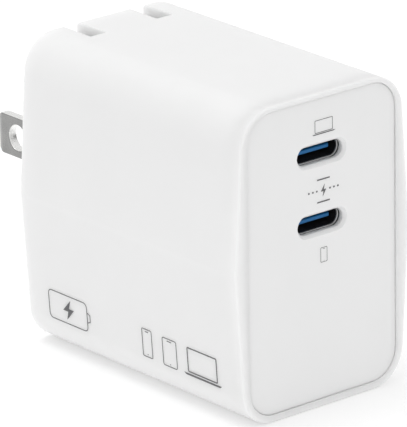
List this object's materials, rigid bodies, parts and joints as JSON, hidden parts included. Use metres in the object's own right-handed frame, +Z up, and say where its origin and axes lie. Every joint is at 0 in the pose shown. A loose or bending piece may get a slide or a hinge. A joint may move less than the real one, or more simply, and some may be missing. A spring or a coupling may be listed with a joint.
{
  "type": "laptop power adapter",
  "caption": "White plug-in wall charger with a creased block body, USB-C sockets in a recessed front panel and flat mains prongs that fold up into rear slots.",
  "frame": {"origin": "centre of the flat bottom face that the charger stands on", "axes": "+Y from the socket face to the wall side, where the prongs stand out; +Z up; +X to the right when the socket face is seen from the front"},
  "size_m": [0.0332, 0.0664, 0.0478],
  "materials": {
    "housing_white": "white moulded polycarbonate, soft satin gloss",
    "panel_white": "white moulded polycarbonate, fine matt texture",
    "cradle_white": "white moulded plastic, plain",
    "hub_grey": "off-white moulded plastic, plain",
    "prong_nickel": "nickel-plated brass, fine drawn grain",
    "socket_steel": "nickel-plated stainless steel, satin",
    "tongue_blue": "moulded blue plastic",
    "print_grey": "thin grey pad printing",
    "moulded_black": "black moulded plastic",
    "screw_steel": "zinc-plated steel",
    "spring_bronze": "phosphor bronze strip",
    "wire_black": "black PVC insulation",
    "wire_white": "white PVC insulation",
    "circuit_board": "green solder mask on glass-fibre board",
    "ferrite": "dark sintered ferrite",
    "winding_tape": "yellow polyester tape over the windings",
    "winding_copper": "enamelled copper wire",
    "capacitor_sleeve": "dark shrink sleeve on an aluminium can",
    "capacitor_can": "plain aluminium can",
    "film_capacitor": "moulded film capacitor case",
    "disc_ceramic": "blue epoxy-coated disc",
    "fuse_ceramic": "moulded fuse body",
    "chip_black": "moulded epoxy package",
    "inductor_grey": "pressed metal powder",
    "spreader_aluminium": "thin rolled aluminium sheet",
    "pad_silicone": "soft filled silicone",
    "film_clear": "cream polyester insulating film"
  },
  "bodies": {
    "root": {"housing": "housing_white", "front_panel": "panel_white", "prong_cradle": "cradle_white", "shaft_retainer": "moulded_black", "retainer_screw_left": "screw_steel", "retainer_screw_right": "screw_steel", "contact_spring_left": "spring_bronze", "contact_spring_right": "spring_bronze", "detent_spring": "spring_bronze", "wire_line": "wire_black", "wire_neutral": "wire_white", "main_board": "circuit_board", "usb_board": "circuit_board", "board_link_header": "moulded_black", "usb_shell_upper": "socket_steel", "usb_shell_lower": "socket_steel", "usb_tongue_upper": "tongue_blue", "usb_tongue_lower": "tongue_blue", "transformer_core_lower": "ferrite", "transformer_core_upper": "ferrite", "transformer_bobbin": "moulded_black", "transformer_winding": "winding_tape", "bulk_capacitor_1": "capacitor_sleeve", "bulk_capacitor_2": "capacitor_sleeve", "output_capacitor_upper": "capacitor_can", "output_capacitor_lower": "capacitor_can", "choke_core": "ferrite", "choke_winding_a": "winding_copper", "choke_winding_b": "winding_copper", "x_capacitor": "film_capacitor", "y_capacitor": "disc_ceramic", "varistor": "disc_ceramic", "fuse": "fuse_ceramic", "bridge_rectifier": "chip_black", "gan_switch": "chip_black", "optocoupler": "chip_black", "sync_rectifier": "chip_black", "pd_controller_upper": "chip_black", "pd_controller_lower": "chip_black", "output_inductor_upper": "inductor_grey", "output_inductor_lower": "inductor_grey", "heat_spreader_left": "spreader_aluminium", "heat_spreader_right": "spreader_aluminium", "thermal_pad_left": "pad_silicone", "thermal_pad_right": "pad_silicone", "insulating_film": "film_clear"},
    "prongs": {"prong_carrier": "hub_grey", "blade_left": "prong_nickel", "blade_right": "prong_nickel"}
  },
  "joints": [
    {"name": "prong_fold", "type": "hinge", "parent": "root", "child": "prongs", "pos_m": [0, 0.02125, 0.027], "axis": [1, 0, 0], "range_deg": [0, 90]}
  ]
}
